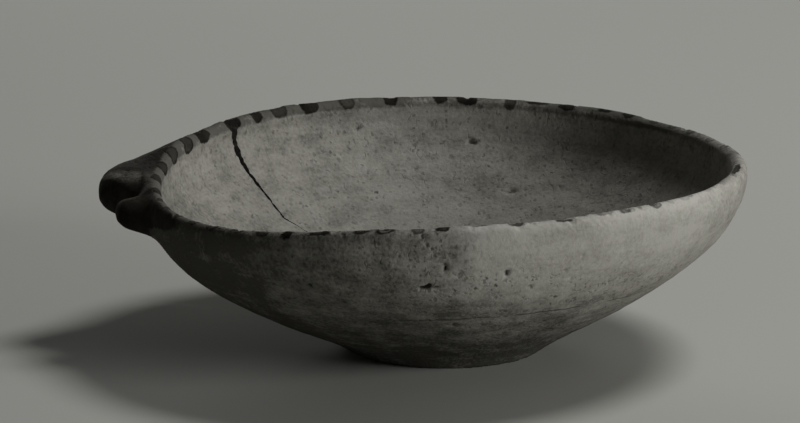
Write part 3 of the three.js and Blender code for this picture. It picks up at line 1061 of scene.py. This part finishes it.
# %% [markdown]
# Seam, scuffs and smudges
#
# Three more values: how far a point lies above the seam of the two bands, how scuffed it is, and how smudged.
# Scuffs and smudges are soft spots of the outside, listed as they show in the picture.

# %% Seam height and soft spots
SEAM_HEIGHT = 28.2 * MM
HALF_INSIDE = 0.5
SCUFFS = [  # degrees, height and their spreads, in degrees and millimetres
    (264, 54, 11, 8), (248, 56, 12, 5), (268, 44, 9, 8), (281, 45, 14, 5), (300, 40, 14, 5), (322, 35, 14, 4),
    (236, 47, 14, 9),
]
SMUDGES = [(254, 43, 7, 7), (243, 37, 9, 6), (268, 30, 14, 3), (232, 48, 10, 8), (290, 31, 9, 4)]


def spots(places):
    """A soft spot round each listed place of the outside."""
    total = np.zeros(len(points))
    for degrees, height, wide, high in places:
        away = (turned_from(degrees) / wide) ** 2 + ((points[:, 2] / MM - height) / high) ** 2
        total = np.maximum(total, np.exp(-away))
    return total


store("seam", np.where(inside < HALF_INSIDE, (level - SEAM_HEIGHT) / MM, FAR))
store("scuff", outside * spots(SCUFFS) - pale)
store("smudge", outside * spots(SMUDGES))

# %% [markdown]
# The slip: clouds, blotches, streaks and grain
#
# Slip is thin liquid clay, wiped over the pot before firing. It dries matt and uneven: pale where it lies
# thick, darker where the clay shows through, with level streaks from the wiping hand. Four noises of those
# sizes and the value of slip kept, which also holds painted shade, are added up to one tone, and a ramp turns
# the tone into colour. The streaks are the same noise squeezed upright, so that they run level round the
# wall.

# %% Tone of the slip
SLIP_THIN, SLIP_MEAN, SLIP_PALE = "#51504a", "#94928a", "#b1afa7"
CLOUDS = 42 * MM
BLOTCHES = 8 * MM
STREAKS = 26 * MM
STREAK_FLATNESS = 8
GRAIN = 1.2 * MM  # coarser than real grit, which would be too fine to show
NOISE_ROUGHNESS = 0.6
TONE_SHARES = [("clouds", 0.6), ("blotches", 0.7), ("streaks", 0.5), ("grain", 0.6)]
SLIP_AND_SHADE_WEIGHT = 0.27
MIDDLE_TONE = 0.5
TONE_ENDS = (0.1, 0.9)

slip.use_nodes = True
tree = slip.node_tree
shader = tree.nodes["Principled BSDF"]
place = add_node(tree, "ShaderNodeTexCoord").outputs["Object"]
read = {
    layer.name: add_node(tree, "ShaderNodeAttribute", {"attribute_name": layer.name}).outputs["Fac"]
    for layer in bowl.data.attributes if layer.data_type == "FLOAT"
}
flat = add_node(
    tree, "ShaderNodeMapping", None, {"Vector": place, "Scale": (1, 1, STREAK_FLATNESS)},
).outputs["Vector"]
noises = {}
for name, where, size, detail in (
    ("clouds", place, CLOUDS, 4), ("blotches", place, BLOTCHES, 4), ("streaks", flat, STREAKS, 3),
    ("grain", place, GRAIN, 2),
):
    noises[name] = add_node(
        tree, "ShaderNodeTexNoise", None,
        {"Vector": where, "Scale": 1 / size, "Detail": detail, "Roughness": NOISE_ROUGHNESS},
    ).outputs["Fac"]
tone = MIDDLE_TONE - sum(share for _, share in TONE_SHARES) / 2
weighted = [(noises[name], share) for name, share in TONE_SHARES]
weighted.append((read["slip_kept_and_shade"], SLIP_AND_SHADE_WEIGHT))
for value, share in weighted:
    tone = add_node(
        tree, "ShaderNodeMath", {"operation": "MULTIPLY_ADD"}, {0: value, 1: share, 2: tone},
    ).outputs[0]
ramp = add_node(tree, "ShaderNodeValToRGB", None, {"Fac": tone})
stops = ramp.color_ramp.elements
stops[0].position, stops[1].position = TONE_ENDS
stops[0].color = hex_color(SLIP_THIN)
stops[1].color = hex_color(SLIP_PALE)
middle_stop = stops.new(MIDDLE_TONE)
middle_stop.color = hex_color(SLIP_MEAN)
slip_color = ramp.outputs["Color"]
print("tone nodes:", len(tree.nodes))

# %% [markdown]
# Flecks of grit
#
# Low-fired clay is full of grit, which shows as dark flecks. Cells of a wandering Voronoi pattern give them:
# near the middle of a cell there is a fleck, but only in some cells, and in more of them where the front is
# scuffed.

# %% Flecks
FLECK_CELLS = [  # size of the cells, solid core and outer edge as shares of it, share of cells with a fleck
    (3.2 * MM, 0.16, 0.34, 0.26), (1.6 * MM, 0.24, 0.44, 0.3),
]
FLECK_WANDER = 1.3 * MM
FLECK_WEIGHT = 0.43
FLECK_FULL = 1.05
SCUFF_LUCK = 0.28

wander = add_node(
    tree, "ShaderNodeTexNoise", None, {"Vector": place, "Scale": 1 / FLECK_WANDER, "Detail": 1},
).outputs["Color"]
wandered = add_node(
    tree, "ShaderNodeVectorMath", {"operation": "MULTIPLY_ADD"},
    {0: wander, 1: [FLECK_WANDER] * 3, 2: place},
).outputs["Vector"]
marks = 0.0
for cell, core_size, edge_size, share in FLECK_CELLS:
    cells = add_node(
        tree, "ShaderNodeTexVoronoi", {"feature": "F1"}, {"Vector": wandered, "Scale": 1 / cell},
    )
    off_middle = cells.outputs["Distance"]
    spot = add_node(
        tree, "ShaderNodeMapRange", None,
        {"Value": off_middle, "From Min": core_size, "From Max": edge_size, "To Min": 1, "To Max": 0},
    ).outputs["Result"]
    chance = add_node(tree, "ShaderNodeSeparateColor", None, {"Color": cells.outputs["Color"]}).outputs["Red"]
    luck = add_node(
        tree, "ShaderNodeMath", {"operation": "MULTIPLY_ADD"}, {0: read["scuff"], 1: SCUFF_LUCK, 2: chance},
    ).outputs[0]
    drawn = add_node(
        tree, "ShaderNodeMapRange", None,
        {"Value": luck, "From Min": 1 - share, "From Max": FLECK_FULL - share / 2},
    ).outputs["Result"]
    fleck = add_node(tree, "ShaderNodeMath", {"operation": "MULTIPLY"}, {0: spot, 1: drawn}).outputs[0]
    marks = add_node(
        tree, "ShaderNodeMath", {"operation": "MULTIPLY_ADD", "use_clamp": True},
        {0: fleck, 1: FLECK_WEIGHT, 2: marks},
    ).outputs[0]
print("with flecks:", len(tree.nodes))

# %% [markdown]
# Burnt straw
#
# Chopped straw burns out of the clay and leaves short, bent strokes. They are contour lines of a noise, kept
# where a second noise is high, so that they are short, and left out where the slip is whole.

# %% Strokes
FLECK_COLOR = "#44423c"
STROKE_BEND = 4 * MM
STROKE_STRETCH = 0.5
STROKE_CONTOUR = 0.5
STROKE_HALF = (0.008, 0.035)
STROKE_PATCH = 4 * MM
STROKE_PATCH_EDGE = (0.55, 0.66)
PATCH_SLICE = 3.7
STROKE_WEIGHT = 0.42

upright = add_node(
    tree, "ShaderNodeMapping", None, {"Vector": place, "Scale": (1, 1, STROKE_STRETCH)},
).outputs["Vector"]
bends = add_node(
    tree, "ShaderNodeTexNoise", None, {"Vector": upright, "Scale": 1 / STROKE_BEND, "Detail": 2},
).outputs["Fac"]
off_line = add_node(
    tree, "ShaderNodeMath", {"operation": "SUBTRACT"}, {0: bends, 1: STROKE_CONTOUR},
).outputs[0]
off_line = add_node(tree, "ShaderNodeMath", {"operation": "ABSOLUTE"}, {0: off_line}).outputs[0]
line = add_node(
    tree, "ShaderNodeMapRange", None,
    {"Value": off_line, "From Min": STROKE_HALF[0], "From Max": STROKE_HALF[1], "To Min": 1, "To Max": 0},
).outputs["Result"]
patch = add_node(
    tree, "ShaderNodeTexNoise", {"noise_dimensions": "4D"},
    {"Vector": place, "W": PATCH_SLICE, "Scale": 1 / STROKE_PATCH, "Detail": 1},
).outputs["Fac"]
patch = add_node(
    tree, "ShaderNodeMapRange", None,
    {"Value": patch, "From Min": STROKE_PATCH_EDGE[0], "From Max": STROKE_PATCH_EDGE[1]},
).outputs["Result"]
stroke = add_node(tree, "ShaderNodeMath", {"operation": "MULTIPLY"}, {0: line, 1: patch}).outputs[0]
bared = add_node(
    tree, "ShaderNodeMath", {"operation": "ADD", "use_clamp": True}, {0: read["scuff"], 1: 1},
).outputs[0]
stroke = add_node(tree, "ShaderNodeMath", {"operation": "MULTIPLY"}, {0: stroke, 1: bared}).outputs[0]
marks = add_node(
    tree, "ShaderNodeMath", {"operation": "MULTIPLY_ADD", "use_clamp": True},
    {0: stroke, 1: STROKE_WEIGHT, 2: marks},
).outputs[0]
slip_color = add_node(
    tree, "ShaderNodeMix", {"data_type": "RGBA"}, {"Factor": marks, 6: slip_color, 7: hex_color(FLECK_COLOR)},
).outputs[2]
print("with burnt straw:", len(tree.nodes))

# %% [markdown]
# Smudges, and painted shade in the pits
#
# Broad smudges darken the scuffed front, most where the blotches are dark. Deep pits are painted dark, as
# the shade inside them, so the material reads how far each point was pushed in.

# %% Smudges and painted shade in the pits
SMUDGE_COLOR, PIT_SHADE_COLOR = "#57554e", "#1d1b18"
SMUDGE_TONES = (0.3, 0.62)
SMUDGE_WEIGHT = 0.5
SMUDGE_LEAST = 0.1
PIT_SHADE_DEPTHS = (0.3, 0.9)
PIT_SHADE_WEIGHT = 0.9

smudged = add_node(
    tree, "ShaderNodeMapRange", None,
    {
        "Value": noises["blotches"], "From Min": SMUDGE_TONES[0], "From Max": SMUDGE_TONES[1],
        "To Min": SMUDGE_WEIGHT, "To Max": SMUDGE_LEAST,
    },
).outputs["Result"]
smudged = add_node(
    tree, "ShaderNodeMath", {"operation": "MULTIPLY"}, {0: smudged, 1: read["smudge"]},
).outputs[0]
slip_color = add_node(
    tree, "ShaderNodeMix", {"data_type": "RGBA"},
    {"Factor": smudged, 6: slip_color, 7: hex_color(SMUDGE_COLOR)},
).outputs[2]
# Painted shade in the pits: the deeper a point was pushed in, the darker it is painted.
pit_shade = add_node(
    tree, "ShaderNodeMapRange", None,
    {"Value": read["sunk"], "From Min": PIT_SHADE_DEPTHS[0], "From Max": PIT_SHADE_DEPTHS[1], "To Max": PIT_SHADE_WEIGHT},
).outputs["Result"]
slip_color = add_node(
    tree, "ShaderNodeMix", {"data_type": "RGBA"}, {"Factor": pit_shade, 6: slip_color, 7: hex_color(PIT_SHADE_COLOR)},
).outputs[2]
print("with smudges and dirt:", len(tree.nodes))

# %% [markdown]
# The seam of the two bands, and the darker inside
#
# Where the upper band of clay was pressed onto the lower one, a fine dark line runs level round the outside,
# broken where the slip fills it. The inside is a shade darker than the outside.

# %% Seam and inside
SEAM_HALF = 0.3
SEAM_WANDER = 1.6
SEAM_OPEN = (0.44, 0.52)
SEAM_WEIGHT = 0.55
INSIDE_COLOR = "#7a7870"
INSIDE_WEIGHT = 0.22

drift = add_node(
    tree, "ShaderNodeMath", {"operation": "MULTIPLY_ADD"},
    {0: noises["blotches"], 1: SEAM_WANDER, 2: -SEAM_WANDER / 2},
).outputs[0]
off_seam = add_node(tree, "ShaderNodeMath", {"operation": "ADD"}, {0: read["seam"], 1: drift}).outputs[0]
off_seam = add_node(tree, "ShaderNodeMath", {"operation": "ABSOLUTE"}, {0: off_seam}).outputs[0]
seam = add_node(
    tree, "ShaderNodeMapRange", None,
    {"Value": off_seam, "From Min": SEAM_HALF / 2, "From Max": 1.5 * SEAM_HALF, "To Min": 1, "To Max": 0},
).outputs["Result"]
unfilled = add_node(
    tree, "ShaderNodeMapRange", None,
    {"Value": noises["streaks"], "From Min": SEAM_OPEN[0], "From Max": SEAM_OPEN[1]},
).outputs["Result"]
seam = add_node(tree, "ShaderNodeMath", {"operation": "MULTIPLY"}, {0: seam, 1: unfilled}).outputs[0]
seam_share = add_node(tree, "ShaderNodeMath", {"operation": "MULTIPLY"}, {0: seam, 1: SEAM_WEIGHT}).outputs[0]
slip_color = add_node(
    tree, "ShaderNodeMix", {"data_type": "RGBA"},
    {"Factor": seam_share, 6: slip_color, 7: hex_color(FLECK_COLOR)},
).outputs[2]
inside_darker = add_node(
    tree, "ShaderNodeMath", {"operation": "MULTIPLY"}, {0: read["inside"], 1: INSIDE_WEIGHT},
).outputs[0]
slip_color = add_node(
    tree, "ShaderNodeMix", {"data_type": "RGBA"}, {"Factor": inside_darker, 6: slip_color, 7: hex_color(INSIDE_COLOR)},
).outputs[2]
print("with seam and inside:", len(tree.nodes))

# %% [markdown]
# The paint
#
# The dabs and the horns were brushed with a dark earth paint. Its edge wavers with the brush, and the middle
# of a dab is often rubbed thin. The stored distances, shifted by a noise, are cut at zero to give the edges.

# %% Dabs
EDGE_WAVER = 2.2 * MM
EDGE_WAVER_AMOUNT = 2.1
EDGE_SOFTNESS = 0.25
DAB_MIDDLE = (-1.3, -0.5)

waver = add_node(
    tree, "ShaderNodeTexNoise", None,
    {"Vector": place, "Scale": 1 / EDGE_WAVER, "Detail": 3, "Roughness": NOISE_ROUGHNESS},
).outputs["Fac"]
shift = add_node(
    tree, "ShaderNodeMath", {"operation": "MULTIPLY_ADD"},
    {0: waver, 1: EDGE_WAVER_AMOUNT, 2: -EDGE_WAVER_AMOUNT / 2},
).outputs[0]
dab_edge = add_node(tree, "ShaderNodeMath", {"operation": "ADD"}, {0: read["dab"], 1: shift}).outputs[0]
on_dab = add_node(
    tree, "ShaderNodeMapRange", None,
    {"Value": dab_edge, "From Min": -EDGE_SOFTNESS, "From Max": EDGE_SOFTNESS, "To Min": 1, "To Max": 0},
).outputs["Result"]
deep_in_dab = add_node(
    tree, "ShaderNodeMapRange", None,
    {"Value": dab_edge, "From Min": DAB_MIDDLE[0], "From Max": DAB_MIDDLE[1], "To Min": 1, "To Max": 0},
).outputs["Result"]
rubbed_dab = add_node(
    tree, "ShaderNodeMath", {"operation": "MULTIPLY"}, {0: deep_in_dab, 1: read["dab_worn"]},
).outputs[0]
kept = add_node(tree, "ShaderNodeMath", {"operation": "SUBTRACT"}, {0: 1.0, 1: rubbed_dab}).outputs[0]
dab_paint = add_node(tree, "ShaderNodeMath", {"operation": "MULTIPLY"}, {0: on_dab, 1: kept}).outputs[0]
dab_paint = add_node(
    tree, "ShaderNodeMath", {"operation": "MULTIPLY"}, {0: dab_paint, 1: read["dab_strength"]},
).outputs[0]
print("with dabs:", len(tree.nodes))

# %% [markdown]
# Horns, and the colour of the paint
#
# The horns' paint starts where they stand out of the wall. Along the crests it is rubbed thin, and painted
# lighter there as the highlight that the crests catch. All the paint is nearly black where it is thick and a
# paler brown where it is rubbed. It is a little less rough than slip.

# %% Horns and colour
PAINT_DARK, PAINT_RUBBED = "#151310", "#2c2924"
PAINT_TONES = (0.35, 0.68)
HORN_EDGE = (0.4, 1.4)
CREST_EDGE = (1.5, 4.5)
CREST_PAINT = (0.3, 0.92)
SLIP_ROUGHNESS = 0.95
PAINT_ROUGHNESS = 0.8
MATT_SPECULAR = 0.03

horn_edge = add_node(
    tree, "ShaderNodeMath", {"operation": "SUBTRACT"}, {0: read["horn_out"], 1: shift},
).outputs[0]
on_horn = add_node(
    tree, "ShaderNodeMapRange", None,
    {"Value": horn_edge, "From Min": HORN_EDGE[0], "From Max": HORN_EDGE[1]},
).outputs["Result"]
# Along the crests the paint thins: partly wear, partly a painted highlight where the crests catch the light.
crest_edge = add_node(tree, "ShaderNodeMath", {"operation": "ADD"}, {0: read["crest"], 1: shift}).outputs[0]
on_crest = add_node(
    tree, "ShaderNodeMapRange", None,
    {
        "Value": crest_edge, "From Min": CREST_EDGE[0], "From Max": CREST_EDGE[1],
        "To Min": CREST_PAINT[0], "To Max": CREST_PAINT[1],
    },
).outputs["Result"]
horn_paint = add_node(tree, "ShaderNodeMath", {"operation": "MULTIPLY"}, {0: on_horn, 1: on_crest}).outputs[0]
paint = add_node(tree, "ShaderNodeMath", {"operation": "MAXIMUM"}, {0: dab_paint, 1: horn_paint}).outputs[0]
paint_tone = add_node(
    tree, "ShaderNodeMapRange", None,
    {"Value": noises["blotches"], "From Min": PAINT_TONES[0], "From Max": PAINT_TONES[1]},
).outputs["Result"]
paint_color = add_node(
    tree, "ShaderNodeMix", {"data_type": "RGBA"},
    {"Factor": paint_tone, 6: hex_color(PAINT_DARK), 7: hex_color(PAINT_RUBBED)},
).outputs[2]
color = add_node(
    tree, "ShaderNodeMix", {"data_type": "RGBA"}, {"Factor": paint, 6: slip_color, 7: paint_color},
).outputs[2]
tree.links.new(color, shader.inputs["Base Color"])
roughness = add_node(
    tree, "ShaderNodeMapRange", None, {"Value": paint, "To Min": SLIP_ROUGHNESS, "To Max": PAINT_ROUGHNESS},
).outputs["Result"]
tree.links.new(roughness, shader.inputs["Roughness"])
shader.inputs["Specular IOR Level"].default_value = MATT_SPECULAR
print("with paint:", len(tree.nodes))

# %% [markdown]
# Relief too fine for faces
#
# The grain of the slip, the flecks and the seam are tenths of a millimetre deep. A Bump node gives them their
# shading, with a height in millimetres for each.

# %% Fine relief
RELIEF = [("grain", 0.22), ("blotches", 0.5)]
MARK_DEPTH = 0.3
SEAM_DEPTH = 0.35
RELIEF_STRENGTH = 0.8

height = 0.0
for name, depth in RELIEF:
    height = add_node(
        tree, "ShaderNodeMath", {"operation": "MULTIPLY_ADD"}, {0: noises[name], 1: depth, 2: height},
    ).outputs[0]
for hollow, depth in ((marks, MARK_DEPTH), (seam, SEAM_DEPTH)):
    height = add_node(
        tree, "ShaderNodeMath", {"operation": "MULTIPLY_ADD"}, {0: hollow, 1: -depth, 2: height},
    ).outputs[0]
relief = add_node(
    tree, "ShaderNodeBump", None, {"Height": height, "Distance": MM, "Strength": RELIEF_STRENGTH},
).outputs["Normal"]
tree.links.new(relief, shader.inputs["Normal"])
print("slip and paint nodes:", len(tree.nodes))

# %% [markdown]
# The broken clay
#
# Low-fired clay stays dark in the middle of the wall, where the fire burnt nothing out. The crack lays that
# core bare: a rough, crumbly, nearly black brown.

# %% Faces inside the crack
CORE_DARK, CORE_PALE = "#1f1d1a", "#3a3630"
CORE_ROUGHNESS = 0.95
CRUMB = 0.9 * MM  # coarser than real crumbs, so that they show
CRUMB_ROUGHNESS = 0.65
CRUMB_HEIGHT = 0.4 * MM

core_clay.use_nodes = True
tree = core_clay.node_tree
shader = tree.nodes["Principled BSDF"]
place = add_node(tree, "ShaderNodeTexCoord").outputs["Object"]
crumbs = add_node(
    tree, "ShaderNodeTexNoise", None,
    {"Vector": place, "Scale": 1 / CRUMB, "Detail": 4, "Roughness": CRUMB_ROUGHNESS},
).outputs["Fac"]
color = add_node(
    tree, "ShaderNodeMix", {"data_type": "RGBA"},
    {"Factor": crumbs, 6: hex_color(CORE_DARK), 7: hex_color(CORE_PALE)},
).outputs[2]
relief = add_node(
    tree, "ShaderNodeBump", None, {"Height": crumbs, "Distance": CRUMB_HEIGHT},
).outputs["Normal"]
tree.links.new(color, shader.inputs["Base Color"])
tree.links.new(relief, shader.inputs["Normal"])
shader.inputs["Roughness"].default_value = CORE_ROUGHNESS
print("broken clay nodes:", len(tree.nodes))

# %% [markdown]
# Smooth shading and the frame
#
# The skin is shaded smooth except where faces meet at a sharp angle, as along the crack. It is one piece that
# stands for all six measured ones, because slip and smearing hid their joints, and it rides on the only body.

# %% Shade and ride
SHARP = math.radians(50)

bpy.ops.object.select_all(action="DESELECT")
bowl.select_set(True)
bpy.context.view_layer.objects.active = bowl
bpy.ops.object.shade_smooth_by_angle(angle=SHARP)
bowl.vertex_groups.clear()
bowl.name = "painted_bowl_skin"
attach(bowl, "root")
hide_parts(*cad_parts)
triangles = sum(len(face.vertices) - 2 for face in bowl.data.polygons)
print(bowl.name, "triangles:", triangles, "stands for", list(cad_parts))
